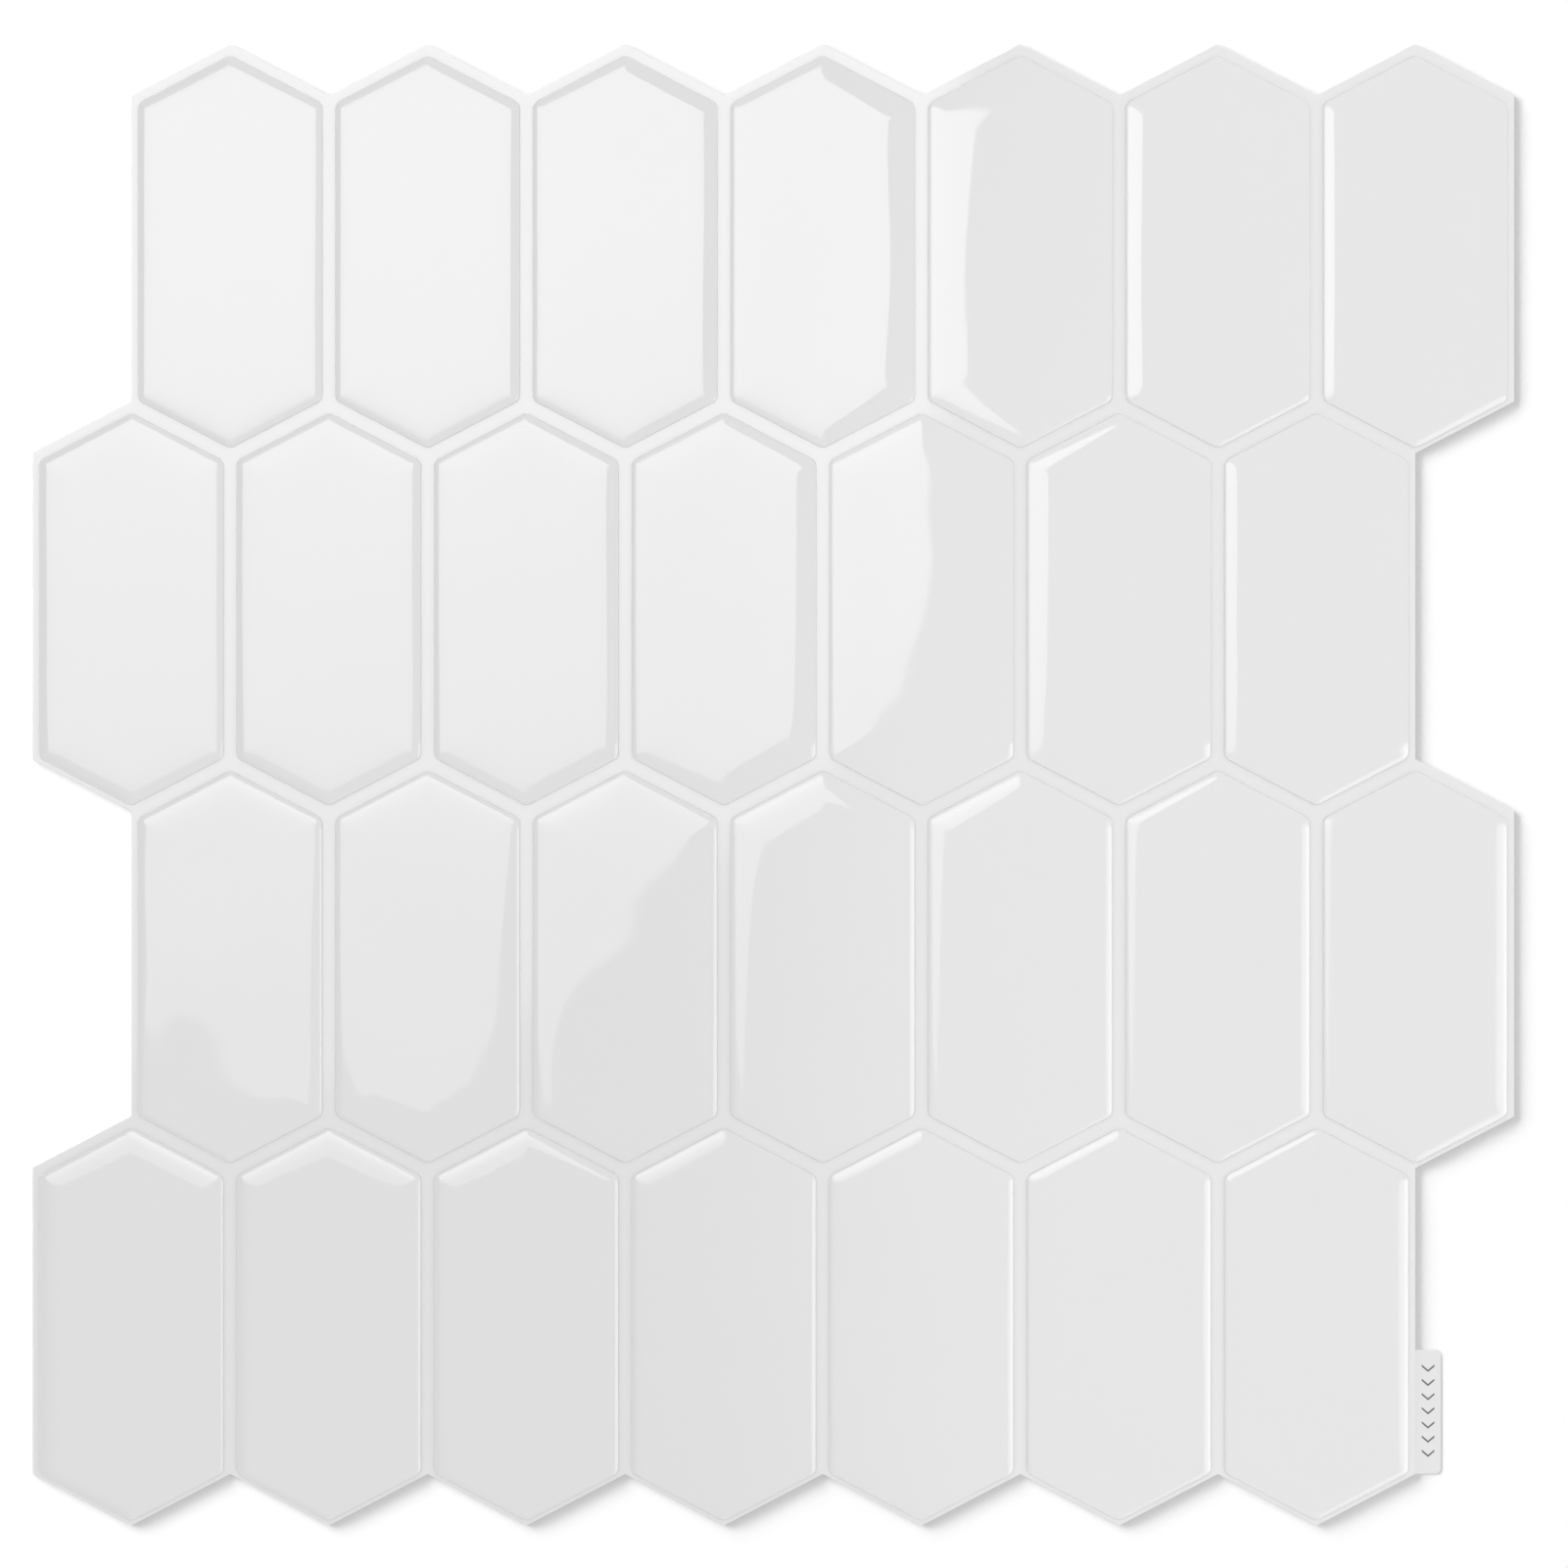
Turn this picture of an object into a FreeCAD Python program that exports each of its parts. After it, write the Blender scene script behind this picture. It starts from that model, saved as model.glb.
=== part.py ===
import FreeCAD, Part
import math
import os
import Sketcher

# A peel and stick backsplash sheet. A paper liner and a backing film are cut on the outline
# of a half offset picket grid, and one cast gel tile stands in the middle of every cell.
# Millimetres, X to the right and Y up the sheet, Z out of the wall. The origin is under the
# middle of the sheet, on the liner's back.

doc = FreeCAD.newDocument("backsplash_sheet")
sizes = doc.addObject("Spreadsheet::Sheet", "sizes")

DRIVING_SIZES = {
    "column_count": 7,
    "row_count": 4,
    "tile_pitch": 40.64,
    "row_pitch": 73.55,
    "point_rise": 10.6,
    "joint_width": 2.65,
    "liner_thickness": 0.13,
    "film_thickness": 0.5,
    "gel_height": 0.95,
    "gel_edge_radius": 0.35,
    "gel_crown_radius": 10.5,
    "gel_crown_reach": 2.6,
    "gel_corner_radius": 1.8,
    "tab_reach": 5.3,
    "tab_length": 25.5,
    "tab_corner_radius": 1.2,
}
for line, (alias, value) in enumerate(DRIVING_SIZES.items(), start=1):
    sizes.set(f"A{line}", alias)
    sizes.set(f"B{line}", str(value))
    sizes.setAlias(f"B{line}", alias)
doc.recompute()

VERTICAL = FreeCAD.Vector(0, 0, 1)
ACROSS = FreeCAD.Vector(1, 0, 0)
UPRIGHT = FreeCAD.Rotation(ACROSS, 90)

# Lengths that several pieces share, as expressions on the sheet of sizes.
SHEET_WIDTH = "sizes.tile_pitch * (sizes.column_count + 0.5)"
SHEET_HEIGHT = "(sizes.row_pitch * sizes.row_count + sizes.point_rise)"
CELL_SIDE = "(sizes.row_pitch - sizes.point_rise)"
POINT_ANGLE = "atan(2 * sizes.point_rise / sizes.tile_pitch)"
GEL_WIDTH = "(sizes.tile_pitch - sizes.joint_width)"
GEL_POINT_WIDTH = f"((sizes.row_pitch + sizes.point_rise) * cos({POINT_ANGLE}) - sizes.joint_width)"
GEL_RISE = f"({GEL_WIDTH} / 2 * tan({POINT_ANGLE}))"
GEL_SIDE = f"({GEL_POINT_WIDTH} / cos({POINT_ANGLE}) - 2 * {GEL_RISE})"
GEL_BASE = "sizes.liner_thickness + sizes.film_thickness"


def bind(thing, place, expression):
    thing.setExpression(place, expression)


def value_of(expression):
    """The number that an expression on the sheet gives now."""
    found = sizes.evalExpression(expression)
    return float(getattr(found, "Value", found))


def picket_sketch(name, width, side, rise):
    """A long hexagon with a point at each end, centred on the origin."""
    sketch = doc.addObject("Sketcher::SketchObject", name)
    half_width = value_of(width) / 2
    half_side = value_of(side) / 2
    tip = half_side + value_of(rise)
    corners = [
        FreeCAD.Vector(half_width, -half_side, 0),
        FreeCAD.Vector(half_width, half_side, 0),
        FreeCAD.Vector(0, tip, 0),
        FreeCAD.Vector(-half_width, half_side, 0),
        FreeCAD.Vector(-half_width, -half_side, 0),
        FreeCAD.Vector(0, -tip, 0),
    ]
    count = len(corners)
    for k in range(count):
        sketch.addGeometry(Part.LineSegment(corners[k], corners[(k + 1) % count]), False)
    for k in range(count):
        sketch.addConstraint(Sketcher.Constraint("Coincident", k, 2, (k + 1) % count, 1))
    right, left = 0, 3
    sketch.addConstraint(Sketcher.Constraint("Symmetric", right, 1, left, 2, -2))
    sketch.addConstraint(Sketcher.Constraint("Symmetric", right, 2, left, 1, -2))
    sketch.addConstraint(Sketcher.Constraint("Symmetric", right, 1, right, 2, -1))
    sketch.addConstraint(Sketcher.Constraint("PointOnObject", 1, 2, -2))
    sketch.addConstraint(Sketcher.Constraint("Symmetric", 1, 2, 4, 2, -1))
    driven = {
        "width": ("DistanceX", left, 2, right, 1, 2 * half_width, width),
        "side": ("DistanceY", right, 1, right, 2, 2 * half_side, side),
        "rise": ("DistanceY", right, 2, 1, 2, tip - half_side, rise),
    }
    for label, (kind, *where, now, expression) in driven.items():
        index = sketch.addConstraint(Sketcher.Constraint(kind, *where, now))
        sketch.renameConstraint(index, label)
        bind(sketch, f"Constraints.{label}", expression)
    return sketch


def extrusion(name, sketch, along, thickness, symmetric=False):
    solid = doc.addObject("Part::Extrusion", name)
    solid.Base = sketch
    solid.DirMode = "Custom"
    solid.Dir = along
    solid.Symmetric = symmetric
    solid.Solid = True
    bind(solid, "LengthFwd", thickness)
    return solid


def round_upright_edges(name, base, radius, wanted):
    """Rounds the upright edges of a solid that the test keeps."""
    doc.recompute()
    rounded = doc.addObject("Part::Fillet", name)
    rounded.Base = base
    rounded.Edges = [
        (number, radius, radius)
        for number, edge in enumerate(base.Shape.Edges, start=1)
        if abs(edge.tangentAt(edge.FirstParameter).z) > 0.99 and wanted(edge.CenterOfMass)
    ]
    return rounded


def grid_cells():
    """Row and column of every cell, from the top left, with its centre as expressions."""
    for row in range(int(sizes.row_count)):
        half_steps = 2 if row % 2 == 0 else 1
        for column in range(int(sizes.column_count)):
            across = f"sizes.tile_pitch * {column + half_steps / 2} - {SHEET_WIDTH} / 2"
            up = f"({SHEET_HEIGHT} - sizes.row_pitch - sizes.point_rise) / 2 - sizes.row_pitch * {row}"
            yield row + 1, column + 1, across, up


def place(thing, across, up, height):
    bind(thing, "Placement.Base.x", across)
    bind(thing, "Placement.Base.y", up)
    bind(thing, "Placement.Base.z", height)


def flank_profile(name, width):
    """The section across two opposite flanks of a gel tile.

    The flank stands square on the film, turns over on the small edge radius and runs
    out on the wide crown radius to the flat top, which starts at the crown's reach.
    """
    half = value_of(width) / 2
    height = sizes.gel_height
    edge, crown, reach = sizes.gel_edge_radius, sizes.gel_crown_radius, sizes.gel_crown_reach
    turn = math.asin((reach - edge) / (crown - edge))
    crown_x, crown_y = half - reach, height - crown
    edge_x = half - edge
    edge_y = crown_y + (crown - edge) * math.cos(turn)
    quarter = math.pi / 2

    def arc(x, y, radius, start, end):
        circle = Part.Circle(FreeCAD.Vector(x, y, 0), VERTICAL, radius)
        return Part.ArcOfCircle(circle, start, end)

    def line(x1, y1, x2, y2):
        return Part.LineSegment(FreeCAD.Vector(x1, y1, 0), FreeCAD.Vector(x2, y2, 0))

    sketch = doc.addObject("Sketcher::SketchObject", name)
    outline = [
        line(-half, 0, half, 0),
        line(half, 0, half, edge_y),
        arc(edge_x, edge_y, edge, 0, quarter - turn),
        arc(crown_x, crown_y, crown, quarter - turn, quarter),
        line(crown_x, height, -crown_x, height),
        arc(-crown_x, crown_y, crown, quarter, quarter + turn),
        arc(-edge_x, edge_y, edge, quarter + turn, 2 * quarter),
        line(-half, edge_y, -half, 0),
    ]
    for piece in outline:
        sketch.addGeometry(piece, False)
    base, right_wall, right_edge, right_crown, top, left_crown, left_edge, left_wall = range(8)
    for before in range(right_wall, left_wall):
        sketch.addConstraint(Sketcher.Constraint("Tangent", before, 2, before + 1, 1))
    sketch.addConstraint(Sketcher.Constraint("Coincident", left_wall, 2, base, 1))
    sketch.addConstraint(Sketcher.Constraint("Coincident", base, 2, right_wall, 1))
    sketch.addConstraint(Sketcher.Constraint("Vertical", right_wall))
    sketch.addConstraint(Sketcher.Constraint("Vertical", left_wall))
    sketch.addConstraint(Sketcher.Constraint("Symmetric", base, 1, base, 2, -2))
    sketch.addConstraint(Sketcher.Constraint("PointOnObject", base, 1, -1))
    sketch.addConstraint(Sketcher.Constraint("Symmetric", top, 1, top, 2, -2))
    sketch.addConstraint(Sketcher.Constraint("Equal", right_edge, left_edge))
    sketch.addConstraint(Sketcher.Constraint("Equal", right_crown, left_crown))
    driven = {
        "edge": ("Radius", right_edge, edge, "sizes.gel_edge_radius"),
        "crown": ("Radius", right_crown, crown, "sizes.gel_crown_radius"),
        "reach": ("DistanceX", top, 1, base, 2, reach, "sizes.gel_crown_reach"),
        "width": ("DistanceX", base, 1, base, 2, 2 * half, width),
        "height": ("DistanceY", base, 2, top, 1, height, "sizes.gel_height"),
    }
    for label, (kind, *where, now, expression) in driven.items():
        index = sketch.addConstraint(Sketcher.Constraint(kind, *where, now))
        sketch.renameConstraint(index, label)
        bind(sketch, f"Constraints.{label}", expression)
    sketch.Placement = FreeCAD.Placement(FreeCAD.Vector(), UPRIGHT)
    return sketch


def flank_bar(name, profile, turn):
    """A flank section carried right through the tile, turned about the tile's middle."""
    bar = extrusion(name, profile, FreeCAD.Vector(0, 1, 0), f"2 * ({SHEET_HEIGHT})", True)
    bar.Placement = FreeCAD.Placement(FreeCAD.Vector(), FreeCAD.Rotation(VERTICAL, 1))
    bind(bar, "Placement.Rotation.Angle", turn)
    return bar


def cell_sheet(name, thickness, height, *extras):
    """A thin sheet cut on the outline of all the cells, in one piece."""
    outline = picket_sketch(f"{name}_cell", "sizes.tile_pitch", CELL_SIDE, "sizes.point_rise")
    cells = []
    for row, column, across, up in grid_cells():
        cell = extrusion(f"{name}_cell_r{row}_c{column}", outline, VERTICAL, thickness)
        place(cell, across, up, height)
        cells.append(cell)
    sheet = doc.addObject("Part::MultiFuse", name)
    sheet.Shapes = cells + list(extras)
    sheet.Refine = True
    sheet.Label = name
    return sheet


def pull_tab():
    """The corner of liner that stands out past the film at the lower right."""
    tab = doc.addObject("Part::Box", "tab_blank")
    bind(tab, "Length", "sizes.tab_reach")
    bind(tab, "Width", "sizes.tab_length")
    bind(tab, "Height", "sizes.liner_thickness")
    right_side = f"sizes.tile_pitch * sizes.column_count - {SHEET_WIDTH} / 2"
    place(tab, right_side, f"sizes.point_rise - {SHEET_HEIGHT} / 2", "0")
    doc.recompute()
    middle = tab.Shape.CenterOfMass.x
    return round_upright_edges("pull_tab", tab, sizes.tab_corner_radius, lambda at: at.x > middle)


def gel_tiles():
    """The cast gel tiles, one in the middle of every cell."""
    outline = picket_sketch("gel_outline", GEL_WIDTH, GEL_SIDE, GEL_RISE)
    blank = extrusion("gel_blank", outline, VERTICAL, "sizes.gel_height")
    rounded = round_upright_edges("gel_rounded", blank, sizes.gel_corner_radius, lambda at: True)
    side_profile = flank_profile("gel_side_profile", GEL_WIDTH)
    point_profile = flank_profile("gel_point_profile", GEL_POINT_WIDTH)
    bars = [
        flank_bar("gel_side_bar", side_profile, "0 deg"),
        flank_bar("gel_point_bar_right", point_profile, f"90 deg - {POINT_ANGLE}"),
        flank_bar("gel_point_bar_left", point_profile, f"{POINT_ANGLE} - 90 deg"),
    ]
    tiles = []
    for row, column, across, up in grid_cells():
        name = f"gel_tile_r{row}_c{column}"
        tile = doc.addObject("Part::MultiCommon", name)
        tile.Shapes = [rounded, *bars]
        tile.Label = name
        place(tile, across, up, GEL_BASE)
        tiles.append(tile)
    return tiles


def check(sub_parts):
    for thing in doc.Objects:
        if "Invalid" in thing.State or "Error" in thing.State:
            raise RuntimeError(f"{thing.Label} failed: {thing.State}")
    for part in sub_parts:
        if part.Shape.isNull() or not part.Shape.isValid():
            raise RuntimeError(f"{part.Label} has no valid shape")
        if len(part.Shape.Solids) != 1:
            raise RuntimeError(f"{part.Label} is not one solid")


liner = cell_sheet("release_liner", "sizes.liner_thickness", "0", pull_tab())
film = cell_sheet("backing_film", "sizes.film_thickness", "sizes.liner_thickness")
sub_parts = [liner, film, *gel_tiles()]
doc.recompute()
check(sub_parts)

os.makedirs("parts", exist_ok=True)
for part in sub_parts:
    part.Shape.exportStep(f"parts/{part.Label}.step")
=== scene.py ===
import math

import bmesh
import bpy
from mathutils import Matrix, Vector, noise


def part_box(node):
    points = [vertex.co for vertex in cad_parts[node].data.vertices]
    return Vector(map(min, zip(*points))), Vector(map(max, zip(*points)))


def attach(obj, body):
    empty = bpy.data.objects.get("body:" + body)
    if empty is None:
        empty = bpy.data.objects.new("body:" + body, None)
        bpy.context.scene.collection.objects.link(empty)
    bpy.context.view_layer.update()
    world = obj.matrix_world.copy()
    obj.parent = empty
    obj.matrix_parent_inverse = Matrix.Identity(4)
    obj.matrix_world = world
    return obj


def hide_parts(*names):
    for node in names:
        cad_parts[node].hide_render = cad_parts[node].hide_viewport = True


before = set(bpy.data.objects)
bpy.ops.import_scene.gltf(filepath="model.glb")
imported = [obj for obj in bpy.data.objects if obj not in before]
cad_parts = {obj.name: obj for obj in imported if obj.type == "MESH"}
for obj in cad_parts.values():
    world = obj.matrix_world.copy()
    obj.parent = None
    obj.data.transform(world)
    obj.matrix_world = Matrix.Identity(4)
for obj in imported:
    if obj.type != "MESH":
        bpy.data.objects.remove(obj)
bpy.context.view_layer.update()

# The sheet lies on its liner with the gel tiles up, and the camera looks straight down on it.
# Lengths are in metres. The film's box and the sizes below give every other place.
MM = 0.001
ROWS = 4
COLUMNS = 7
POINT_RISE = 10.6 * MM
JOINT_WIDTH = 2.65 * MM

# The gel stands a little low on the film, and each tile's slanted sides are drawn in more.
GEL_DROP = 0.7 * MM
SLANT_INSET = 0.1 * MM

film_low, film_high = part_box("backing_film")
liner_low, liner_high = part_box("release_liner")
gel_low, gel_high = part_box("gel_tile_r1_c1")
TILE_PITCH = (film_high.x - film_low.x) / (COLUMNS + 0.5)
ROW_PITCH = (film_high.y - film_low.y - POINT_RISE) / ROWS
GEL_HEIGHT = gel_high.z - film_high.z
POINT_SLOPE = math.atan2(POINT_RISE, TILE_PITCH / 2)
TAB_TOP = liner_high.z

# The gel's flank stands square on the film, turns over a small round edge, and a shoulder
# that fades out leads to the flat middle.
EDGE_RADIUS = 0.35 * MM
EDGE_SEGMENTS = 5
SHOULDER_SLOPE = math.radians(8.2)
SHOULDER_FADE = 0.8 * MM
CROWN_SLOPE = math.radians(5.0)
CROWN_FADE = 2.2 * MM
CROWN_REACH = 9.0 * MM
CROWN_RINGS = 16
CORNER_RADIUS = 1.8 * MM
LEAST_CORNER_RADIUS = 0.6 * MM
CORNER_SEGMENTS = 6
FACE_STEP = 3.0 * MM
CUT_TOLERANCE = 0.0001 * MM

# The poured face waves above a share of its full height, and most where it is flat.
# The sink keeps most of a wave below that height, and the steps give each tile its own waves.
WAVE_HEIGHT = 0.03 * MM
WAVE_LENGTH = 26 * MM
WAVE_SINK = 0.5
WAVE_FROM = 0.8
WAVE_PLACE_STEPS = (7.3, 3.1, 1.7)

# Three tiles of the third row are poured less evenly. Each has its own place in the noise.
UNEVEN_HEIGHT = 0.11 * MM
UNEVEN_TILES = {(3, 1): 35.52, (3, 2): 52.17, (3, 3): 105.08}

# The pull tab, as the liner has it, and the marks on it.
TAB_REACH = 5.3 * MM
TAB_LENGTH = 25.5 * MM
TAB_CHEVRONS = 7
TAB_ZONE_LENGTH = 17.5 * MM
CHEVRON_SIZE = (2.6 * MM, 1.1 * MM)
CHEVRON_STROKE = 0.42 * MM
INK_THICKNESS = 0.015 * MM

# Camera, in the frame of the photograph.
FRAME_PIXELS = 1601
MM_PER_PIXEL = 0.2016
SHEET_MIDDLE_PX = Vector((789.7, 801.3))
CAMERA_HEIGHT = 1.5
SENSOR_WIDTH = 36.0

# Lights. A card's radiance runs from one value to another, as the distance from a point or
# the reach along a direction goes from the start to the end.
SOFTBOX_MIDDLE = Vector((-0.281, 0.224, 2.0))
SOFTBOX_INRADIUS = 0.36
SOFTBOX_TURN = math.radians(-6)
SOFTBOX_GLOW = dict(
    measure="DISTANCE", stretch=(0.6, 1, 1), vector=(-0.132, 0.36, 2.0),
    start=0.05, end=0.55, radiance_start=4.75, radiance_end=2.2,
)
SIDE_CARD_MIDDLE = Vector((1.06, -0.55, 2.0))
SIDE_CARD_HALF = 0.56
SIDE_CARD_GLOW = dict(
    measure="DOT_PRODUCT", stretch=(1, 1, 1), vector=(1, 0, 0),
    start=0.55, end=1.15, radiance_start=3.0, radiance_end=5.8,
)
FLAG_MIDDLE = Vector((-1.85, 0.0, 2.05))
FLAG_HALF = 1.5
FLAG_GLOW = dict(
    measure="DOT_PRODUCT", stretch=(1, 1, 1), vector=(1, 0, 0),
    start=-0.75, end=-0.3, radiance_start=0.0, radiance_end=1.0,
)
SPOT_PLACE = Vector((0.592, -0.04, 1.9))
SPOT_AIM = Vector((0.592, -0.04, 0.0))
SPOT_CONE = math.radians(36.4)
SPOT_BLEND = 0.24
SPOT_POWER = 12.6
SPOT_RADIUS = 0.03
AMBIENT = 0.825
AMBIENT_LEAN = (0.04, 0.02, 0.0)
FLOOR_HALF = 4.0
FLOOR_GAP = 0.02 * MM
FLOOR_TONE = 0.36
FLOOR_GLOW = 0.235
FLOOR_LAMP_POWER = 820.0
FLOOR_LAMP_DISTANCE = 4.0
FLOOR_LAMP_ELEVATION = math.radians(17)
FLOOR_LAMP_AZIMUTH = math.radians(148)
FLOOR_LAMP_WIDTH = 5.0
FLOOR_LAMP_HEIGHT = 1.0


def node(tree, kind, **inputs):
    """A shader node whose named sockets are set."""
    made = tree.nodes.new(kind)
    for name, value in inputs.items():
        made.inputs[name.replace("_", " ")].default_value = value
    return made


def calculated(tree, operation, first, second, kind="ShaderNodeMath", result="Value"):
    """The result of one calculation. Each side is a value or another node's output."""
    calculation = tree.nodes.new(kind)
    calculation.operation = operation
    for socket, side in zip(calculation.inputs, (first, second)):
        if isinstance(side, bpy.types.NodeSocket):
            tree.links.new(side, socket)
        else:
            socket.default_value = side
    return calculation.outputs[result]


def seen(tree):
    """1 on the rays that the camera sees by, straight, mirrored or through something clear."""
    rays = tree.nodes.new("ShaderNodeLightPath")
    mirrored = calculated(tree, "MAXIMUM", rays.outputs["Is Camera Ray"], rays.outputs["Is Glossy Ray"])
    return calculated(tree, "MAXIMUM", mirrored, rays.outputs["Is Transmission Ray"])


def new_material(name, kind="ShaderNodeBsdfPrincipled", result="BSDF"):
    """A material with one shader on its surface."""
    material = bpy.data.materials.new(name)
    material.use_nodes = True
    tree = material.node_tree
    tree.nodes.clear()
    output = tree.nodes.new("ShaderNodeOutputMaterial")
    shader = tree.nodes.new(kind)
    tree.links.new(shader.outputs[result], output.inputs["Surface"])
    return material, tree, shader


def grey(level):
    """A colour with no tint."""
    return (level, level, level, 1.0)


def mottle_group():
    """Soft patches between two tones, and a fine relief, both from noise in the object's space."""
    group = bpy.data.node_groups.new("mottle", "ShaderNodeTree")
    for name, kind in (
        ("Tone A", "NodeSocketColor"),
        ("Tone B", "NodeSocketColor"),
        ("Patch Size", "NodeSocketFloat"),
        ("Relief Size", "NodeSocketFloat"),
    ):
        group.interface.new_socket(name, in_out="INPUT", socket_type=kind)
    group.interface.new_socket("Color", in_out="OUTPUT", socket_type="NodeSocketColor")
    group.interface.new_socket("Relief", in_out="OUTPUT", socket_type="NodeSocketFloat")
    start = group.nodes.new("NodeGroupInput")
    end = group.nodes.new("NodeGroupOutput")
    place = group.nodes.new("ShaderNodeTexCoord")
    link = group.links.new
    patches = node(group, "ShaderNodeTexNoise", Detail=3.0, Roughness=0.5)
    link(place.outputs["Object"], patches.inputs["Vector"])
    link(calculated(group, "DIVIDE", 1.0, start.outputs["Patch Size"]), patches.inputs["Scale"])
    blend = group.nodes.new("ShaderNodeMix")
    blend.data_type = "RGBA"
    link(patches.outputs["Fac"], blend.inputs["Factor"])
    link(start.outputs["Tone A"], blend.inputs["A"])
    link(start.outputs["Tone B"], blend.inputs["B"])
    link(blend.outputs["Result"], end.inputs["Color"])
    relief = node(group, "ShaderNodeTexNoise", Detail=2.0, Roughness=0.55)
    link(place.outputs["Object"], relief.inputs["Vector"])
    link(calculated(group, "DIVIDE", 1.0, start.outputs["Relief Size"]), relief.inputs["Scale"])
    link(relief.outputs["Fac"], end.inputs["Relief"])
    return group


mottle = mottle_group()


def mottled(tree, shader, tones, patch_size, relief_size, relief_depth):
    """Gives a shader its colour and bump from the shared mottle."""
    effect = tree.nodes.new("ShaderNodeGroup")
    effect.node_tree = mottle
    effect.inputs["Tone A"].default_value = grey(tones[0])
    effect.inputs["Tone B"].default_value = grey(tones[1])
    effect.inputs["Patch Size"].default_value = patch_size
    effect.inputs["Relief Size"].default_value = relief_size
    bump = node(tree, "ShaderNodeBump", Strength=1.0, Distance=relief_depth)
    tree.links.new(effect.outputs["Color"], shader.inputs["Base Color"])
    tree.links.new(effect.outputs["Relief"], bump.inputs["Height"])
    tree.links.new(bump.outputs["Normal"], shader.inputs["Normal"])


def gel_material():
    """Glossy white cast gel, a hair uneven in tone and face."""
    material, tree, shader = new_material("white_gel")
    shader.inputs["Roughness"].default_value = 0.02
    shader.inputs["IOR"].default_value = 1.5
    mottled(
        tree, shader, tones=(0.79, 0.80),
        patch_size=30 * MM, relief_size=9 * MM, relief_depth=0.002 * MM,
    )
    return material


def film_material():
    """White printed film with a satin face."""
    material, tree, shader = new_material("printed_film")
    shader.inputs["Roughness"].default_value = 0.05
    mottled(
        tree, shader, tones=(0.815, 0.825),
        patch_size=12 * MM, relief_size=2 * MM, relief_depth=0.001 * MM,
    )
    return material


def liner_material():
    """Smooth siliconed paper, a little greyer than the film."""
    material, tree, shader = new_material("liner_paper")
    shader.inputs["Roughness"].default_value = 0.42
    mottled(
        tree, shader, tones=(0.745, 0.77),
        patch_size=6 * MM, relief_size=0.3 * MM, relief_depth=0.006 * MM,
    )
    return material


def ink_material():
    """Grey ink on the tab."""
    material, tree, shader = new_material("grey_ink")
    shader.inputs["Roughness"].default_value = 0.5
    mottled(
        tree, shader, tones=(0.09, 0.12),
        patch_size=2 * MM, relief_size=0.2 * MM, relief_depth=0.002 * MM,
    )
    return material


def dress(name, material):
    """Gives a CAD piece its material."""
    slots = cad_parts[name].data.materials
    slots.clear()
    slots.append(material)


def object_of(bm, name, material):
    """Makes an object of a bmesh, in place."""
    mesh = bpy.data.meshes.new(name)
    bm.to_mesh(mesh)
    bm.free()
    mesh.materials.append(material)
    made = bpy.data.objects.new(name, mesh)
    bpy.context.scene.collection.objects.link(made)
    return made


def finished(bm, name, material):
    """A piece of the sheet, made of a bmesh, which rides on the sheet."""
    piece = object_of(bm, name, material)
    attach(piece, "root")
    return piece


def tile_centre(row, column):
    """Middle of a gel tile in its cell. Odd rows stand half a pitch to the right."""
    shift = 0.5 if row % 2 == 1 else 0.0
    x = film_low.x + TILE_PITCH * (column - 0.5 + shift)
    y = film_high.y - (ROW_PITCH + POINT_RISE) / 2 - ROW_PITCH * (row - 1) - GEL_DROP
    return Vector((x, y, 0))


def picket_corners(inset):
    """Corners of a cell's outline when it is drawn in all round, and a bit more on the slants."""
    half_width = TILE_PITCH / 2 - inset
    tip = (ROW_PITCH + POINT_RISE) / 2 - (inset + SLANT_INSET) / math.cos(POINT_SLOPE)
    shoulder = tip - half_width * math.tan(POINT_SLOPE)
    return [
        (half_width, -shoulder),
        (half_width, shoulder),
        (0, tip),
        (-half_width, shoulder),
        (-half_width, -shoulder),
        (0, -tip),
    ]


def picket_ring(bm, inset, height):
    """A closed ring of edges on a gel tile's outline, drawn in by an inset, with round corners."""
    before = set(bm.edges)
    corners = [bm.verts.new((x, y, height)) for x, y in picket_corners(JOINT_WIDTH / 2 + inset)]
    for start, end in zip(corners, corners[1:] + corners[:1]):
        bm.edges.new((start, end))
    radius = max(CORNER_RADIUS - inset, LEAST_CORNER_RADIUS)
    points = [corner for corner in corners if corner.co.x == 0]
    shoulders = [corner for corner in corners if corner.co.x != 0]
    for group, turn in ((points, 2 * POINT_SLOPE), (shoulders, math.pi / 2 - POINT_SLOPE)):
        bmesh.ops.bevel(
            bm, geom=group, offset=radius * math.tan(turn / 2), offset_type="OFFSET",
            segments=CORNER_SEGMENTS, profile=0.5, affect="VERTICES", material=-1,
        )
    return [edge for edge in bm.edges if edge not in before]


def shoulder_fall(inset):
    """How far the face still has to rise from this distance inside the round edge."""
    near = SHOULDER_SLOPE * SHOULDER_FADE * math.exp(-inset / SHOULDER_FADE)
    return near + CROWN_SLOPE * CROWN_FADE * math.exp(-inset / CROWN_FADE)


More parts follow.
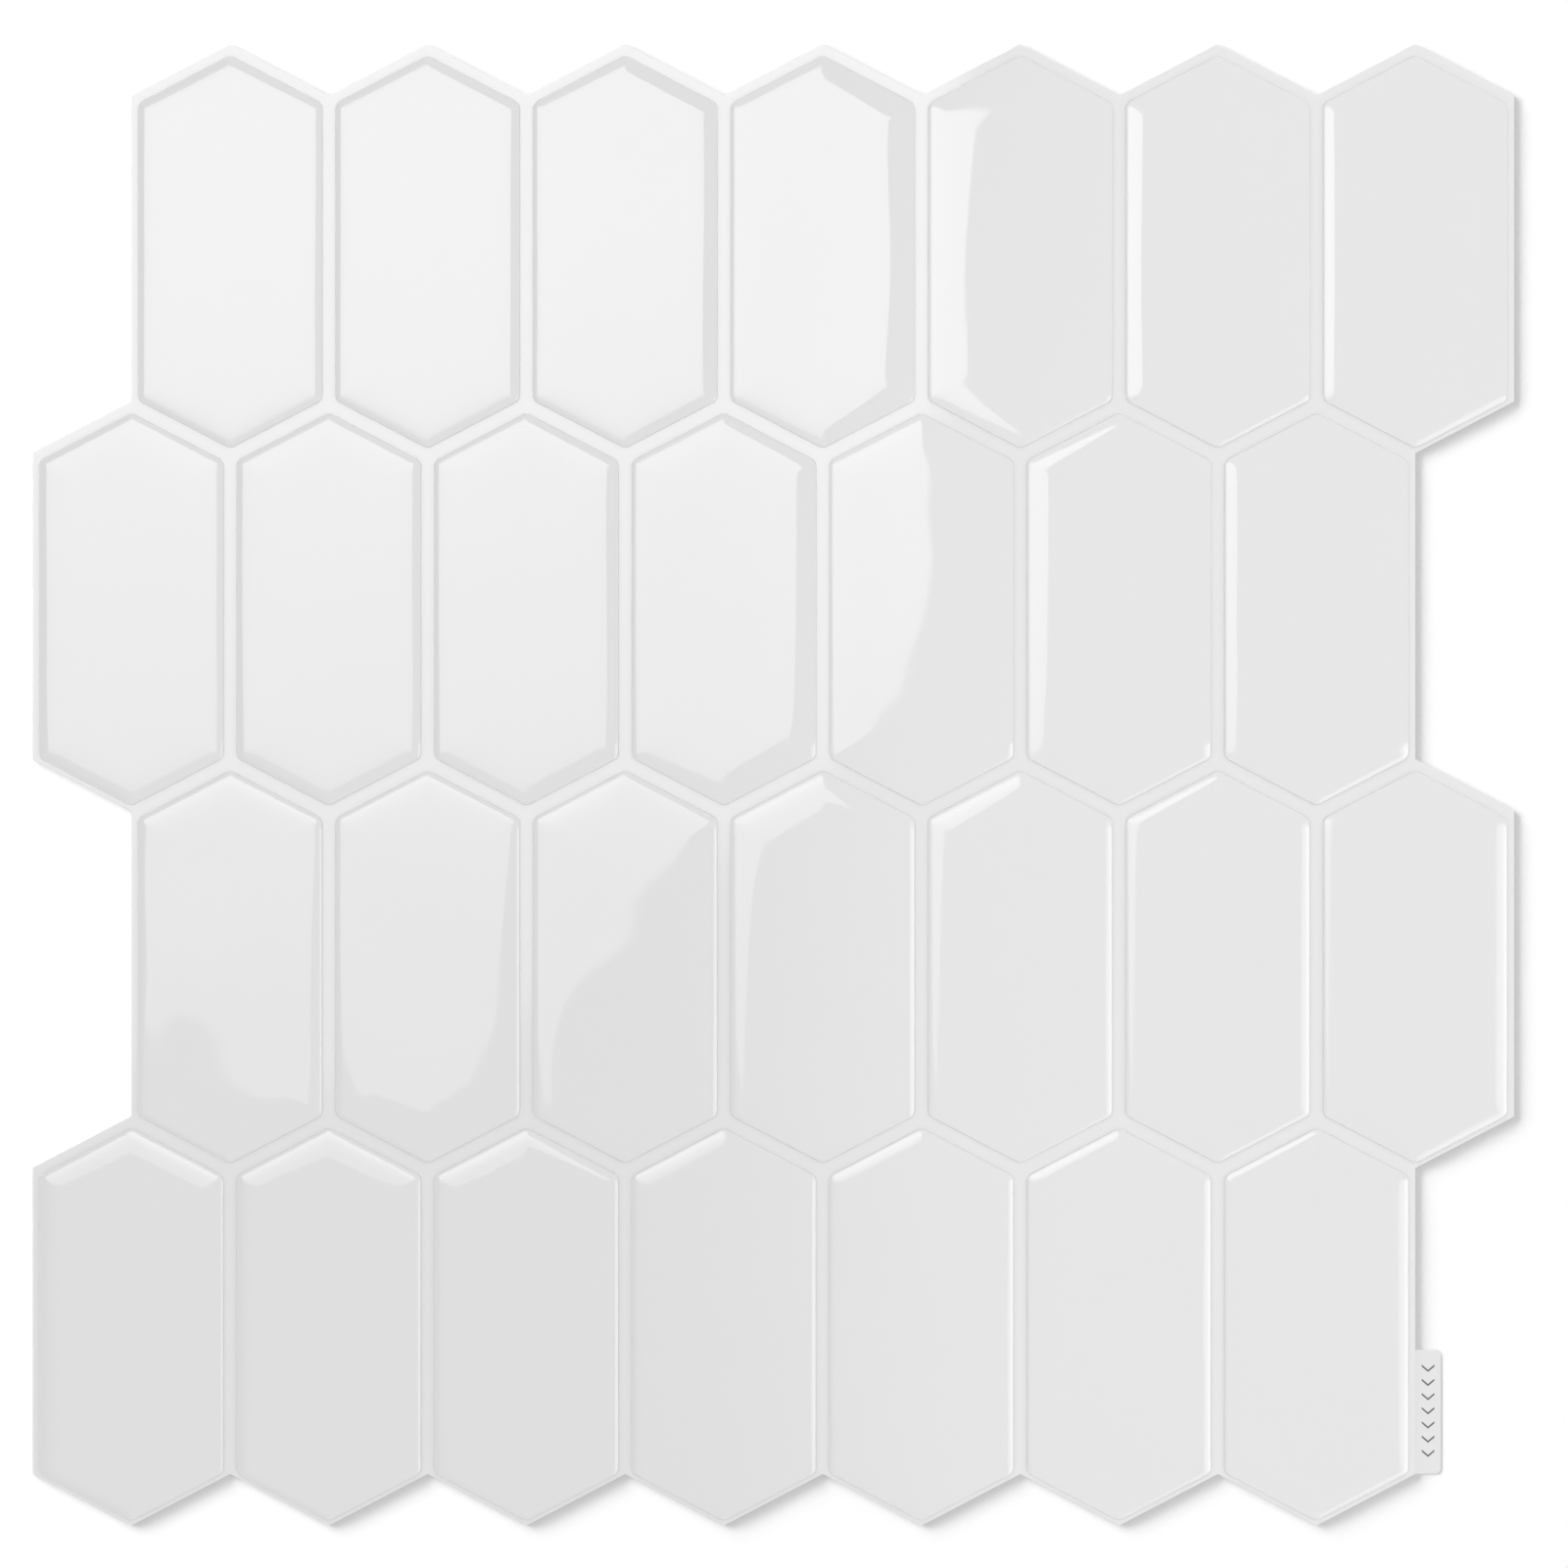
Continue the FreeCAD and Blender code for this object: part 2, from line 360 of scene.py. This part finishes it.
def rim_profile():
    """Inset and height of each ring, from the top of the flank to the flat."""
    edge_slope = SHOULDER_SLOPE + CROWN_SLOPE
    edge_centre = GEL_HEIGHT - shoulder_fall(0) - EDGE_RADIUS * math.cos(edge_slope)
    for k in range(EDGE_SEGMENTS + 1):
        slope = math.pi / 2 + (edge_slope - math.pi / 2) * k / EDGE_SEGMENTS
        yield EDGE_RADIUS * (1 - math.sin(slope)), edge_centre + EDGE_RADIUS * math.cos(slope)
    crown_start = EDGE_RADIUS * (1 - math.sin(edge_slope))
    for k in range(1, CROWN_RINGS + 1):
        inset = CROWN_REACH * (k / CROWN_RINGS) ** 2
        yield crown_start + inset, GEL_HEIGHT - shoulder_fall(inset)


def cut_across(bm, axis, low, high, step):
    """Cuts the whole tile at even steps along an axis, so that its face can wave."""
    count = int((high - low) / step)
    normal = Vector((1, 0, 0)) if axis == 0 else Vector((0, 1, 0))
    for k in range(1, count):
        at = normal * (low + (high - low) * k / count)
        geometry = bm.verts[:] + bm.edges[:] + bm.faces[:]
        bmesh.ops.bisect_plane(bm, geom=geometry, plane_co=at, plane_no=normal, dist=CUT_TOLERANCE)


def gel_tile_bmesh(base):
    """One cast gel tile about the origin, standing on the height of the film's face."""
    bm = bmesh.new()
    lower = foot = picket_ring(bm, 0.0, base)
    for inset, height in rim_profile():
        upper = picket_ring(bm, inset, base + height)
        bmesh.ops.bridge_loops(bm, edges=lower + upper)
        lower = upper
    bmesh.ops.holes_fill(bm, edges=foot, sides=0)
    bmesh.ops.holes_fill(bm, edges=lower, sides=0)
    half_width = TILE_PITCH / 2
    tip = (ROW_PITCH + POINT_RISE) / 2
    cut_across(bm, 0, -half_width, half_width, FACE_STEP)
    cut_across(bm, 1, -tip, tip, FACE_STEP)
    bmesh.ops.recalc_face_normals(bm, faces=bm.faces[:])
    for face in bm.faces:
        face.smooth = True
    for edge in bm.edges:
        edge.smooth = max(vert.co.z for vert in edge.verts) > base
    return bm


def wave(bm, base, depth, seed):
    """Lets the poured face rise and fall by a few hundredths of a millimetre."""
    place = Vector([seed * step for step in WAVE_PLACE_STEPS])
    for vert in bm.verts:
        flatness = max(0.0, (vert.co.z - base) / GEL_HEIGHT - WAVE_FROM) / (1 - WAVE_FROM)
        at = Vector((vert.co.x, vert.co.y, 0)) / WAVE_LENGTH + place
        vert.co.z += depth * flatness * (noise.noise(at) - WAVE_SINK)


def build_gel_tiles(material):
    """The cast gel tiles, which stand for the plainer ones of the CAD."""
    base = film_high.z
    pattern = gel_tile_bmesh(base)
    for row in range(1, ROWS + 1):
        for column in range(1, COLUMNS + 1):
            name = f"gel_tile_r{row}_c{column}"
            bm = pattern.copy()
            if (row, column) in UNEVEN_TILES:
                wave(bm, base, UNEVEN_HEIGHT, UNEVEN_TILES[row, column])
            else:
                wave(bm, base, WAVE_HEIGHT, row * COLUMNS + column)
            bmesh.ops.translate(bm, vec=tile_centre(row, column), verts=bm.verts[:])
            tile = finished(bm, f"{name}_cast", material)
            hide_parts(name)
    pattern.free()


def moved_verts(bm, made, offset):
    """Shifts the vertices that an extrude has just made."""
    verts = [part for part in made["geom"] if isinstance(part, bmesh.types.BMVert)]
    bmesh.ops.translate(bm, vec=offset, verts=verts)


def tab_marks(material):
    """A column of small grey chevrons that says where the liner is taken hold of."""
    width, rise = CHEVRON_SIZE
    across = film_high.x - TILE_PITCH / 2 + TAB_REACH / 2
    middle = film_low.y + POINT_RISE + TAB_LENGTH / 2
    bm = bmesh.new()
    for k in range(TAB_CHEVRONS):
        up = middle + TAB_ZONE_LENGTH * (k / (TAB_CHEVRONS - 1) - 0.5)
        left = bm.verts.new((across - width / 2, up + rise / 2, TAB_TOP))
        point = bm.verts.new((across, up - rise / 2, TAB_TOP))
        right = bm.verts.new((across + width / 2, up + rise / 2, TAB_TOP))
        bm.edges.new((left, point))
        bm.edges.new((point, right))
    strokes = bmesh.ops.extrude_edge_only(bm, edges=bm.edges[:])
    moved_verts(bm, strokes, (0, CHEVRON_STROKE, 0))
    ink = bmesh.ops.extrude_face_region(bm, geom=bm.faces[:], use_keep_orig=True)
    moved_verts(bm, ink, (0, 0, INK_THICKNESS))
    bmesh.ops.recalc_face_normals(bm, faces=bm.faces[:])
    marks = finished(bm, "tab_marks", material)


def glow_material(name, measure, stretch, vector, start, end, radiance_start, radiance_end):
    """Light that changes smoothly with the distance from a point, or along a direction."""
    material, tree, light = new_material(name, "ShaderNodeEmission", "Emission")
    place = tree.nodes.new("ShaderNodeTexCoord").outputs["Object"]
    stretched = calculated(tree, "MULTIPLY", place, stretch, "ShaderNodeVectorMath", "Vector")
    along = calculated(tree, measure, stretched, vector, "ShaderNodeVectorMath")
    ramp = node(
        tree, "ShaderNodeMapRange",
        From_Min=start, From_Max=end, To_Min=radiance_start, To_Max=radiance_end,
    )
    ramp.interpolation_type = "SMOOTHSTEP"
    tree.links.new(along, ramp.inputs["Value"])
    tree.links.new(ramp.outputs["Result"], light.inputs["Strength"])
    return material


def glowing_card(name, sides, inradius, middle, glow, turn=0.0):
    """A flat glowing card with this many sides, level above the sheet and unseen by the camera."""
    half_side = math.pi / sides
    bm = bmesh.new()
    bmesh.ops.create_circle(
        bm, cap_ends=True, segments=sides, radius=inradius / math.cos(half_side),
        matrix=Matrix.Translation(middle) @ Matrix.Rotation(half_side + turn, 4, "Z"),
    )
    card = object_of(bm, name, glow_material(f"{name}_glow", **glow))
    card.visible_camera = False
    return card


def floor_lamp(floor):
    """A soft light from the upper left that falls on the floor alone, for the sheet's shadow."""
    lamp = bpy.data.lights.new("floor_lamp", "AREA")
    lamp.energy = FLOOR_LAMP_POWER
    lamp.shape = "RECTANGLE"
    lamp.size = FLOOR_LAMP_WIDTH
    lamp.size_y = FLOOR_LAMP_HEIGHT
    holder = bpy.data.objects.new("floor_lamp", lamp)
    bpy.context.scene.collection.objects.link(holder)
    reach = math.cos(FLOOR_LAMP_ELEVATION)
    towards_lamp = Vector((
        reach * math.cos(FLOOR_LAMP_AZIMUTH),
        reach * math.sin(FLOOR_LAMP_AZIMUTH),
        math.sin(FLOOR_LAMP_ELEVATION),
    ))
    holder.location = FLOOR_LAMP_DISTANCE * towards_lamp
    holder.rotation_euler = towards_lamp.to_track_quat("Z", "Y").to_euler()
    lit = bpy.data.collections.new("floor_only")
    lit.objects.link(floor)
    holder.light_linking.receiver_collection = lit


def side_spot():
    """A lamp high at the right whose soft cone ends across the middle of the sheet."""
    lamp = bpy.data.lights.new("side_spot", "SPOT")
    lamp.energy = SPOT_POWER
    lamp.spot_size = SPOT_CONE
    lamp.spot_blend = SPOT_BLEND
    lamp.shadow_soft_size = SPOT_RADIUS
    holder = bpy.data.objects.new("side_spot", lamp)
    bpy.context.scene.collection.objects.link(holder)
    holder.location = SPOT_PLACE
    holder.rotation_euler = (SPOT_AIM - SPOT_PLACE).to_track_quat("-Z", "Y").to_euler()
    holder.visible_glossy = False


def room():
    """An even pale room, a little brighter at the right, which shows as white behind things."""
    world = bpy.data.worlds.new("room")
    bpy.context.scene.world = world
    world.use_nodes = True
    tree = world.node_tree
    background = tree.nodes["Background"]
    background.inputs["Color"].default_value = grey(1.0)
    direction = tree.nodes.new("ShaderNodeTexCoord").outputs["Generated"]
    lean = calculated(tree, "DOT_PRODUCT", direction, AMBIENT_LEAN, "ShaderNodeVectorMath")
    strength = node(tree, "ShaderNodeMapRange", To_Max=1.0)
    tree.links.new(calculated(tree, "ADD", lean, AMBIENT), strength.inputs["To Min"])
    tree.links.new(seen(tree), strength.inputs["Value"])
    tree.links.new(strength.outputs["Result"], background.inputs["Strength"])


def studio():
    """A big eight-sided softbox up and to the left, a side card at the right and a dark flag."""
    glowing_card("softbox", 8, SOFTBOX_INRADIUS, SOFTBOX_MIDDLE, SOFTBOX_GLOW, SOFTBOX_TURN)
    side_card = glowing_card("side_card", 4, SIDE_CARD_HALF, SIDE_CARD_MIDDLE, SIDE_CARD_GLOW)
    side_card.visible_diffuse = False
    flag = glowing_card("flag", 4, FLAG_HALF, FLAG_MIDDLE, FLAG_GLOW)
    flag.visible_diffuse = False
    flag.visible_shadow = False
    side_spot()
    room()


def floor_material():
    """Matt paint that glows only where it is seen, so that it lights nothing."""
    material, tree, shader = new_material("studio_floor_paint")
    shader.inputs["Base Color"].default_value = grey(FLOOR_TONE)
    shader.inputs["Roughness"].default_value = 0.9
    shader.inputs["Specular IOR Level"].default_value = 0.0
    shader.inputs["Emission Color"].default_value = grey(1.0)
    glow = calculated(tree, "MULTIPLY", seen(tree), FLOOR_GLOW)
    tree.links.new(glow, shader.inputs["Emission Strength"])
    return material


def floor_stage():
    """A wide pale floor just under the liner."""
    bm = bmesh.new()
    down = Matrix.Translation((0, 0, liner_low.z - FLOOR_GAP))
    bmesh.ops.create_grid(bm, x_segments=1, y_segments=1, size=FLOOR_HALF, matrix=down)
    floor = object_of(bm, "studio_floor", floor_material())
    return floor


def camera():
    """Straight above the sheet, with the sheet where the photograph has it."""
    middle = (film_low + film_high) / 2
    frame_width = FRAME_PIXELS * MM_PER_PIXEL * MM
    off = (Vector((FRAME_PIXELS / 2, FRAME_PIXELS / 2)) - SHEET_MIDDLE_PX) * MM_PER_PIXEL * MM
    lens = bpy.data.cameras.new("camera")
    lens.sensor_width = SENSOR_WIDTH
    lens.lens = SENSOR_WIDTH * CAMERA_HEIGHT / frame_width
    holder = bpy.data.objects.new("camera", lens)
    bpy.context.scene.collection.objects.link(holder)
    holder.location = (middle.x + off.x, middle.y - off.y, CAMERA_HEIGHT)
    bpy.context.scene.camera = holder


camera()
studio()
floor_lamp(floor_stage())
dress("backing_film", film_material())
dress("release_liner", liner_material())
build_gel_tiles(gel_material())
tab_marks(ink_material())

bpy.context.scene.view_settings.view_transform = "Standard"
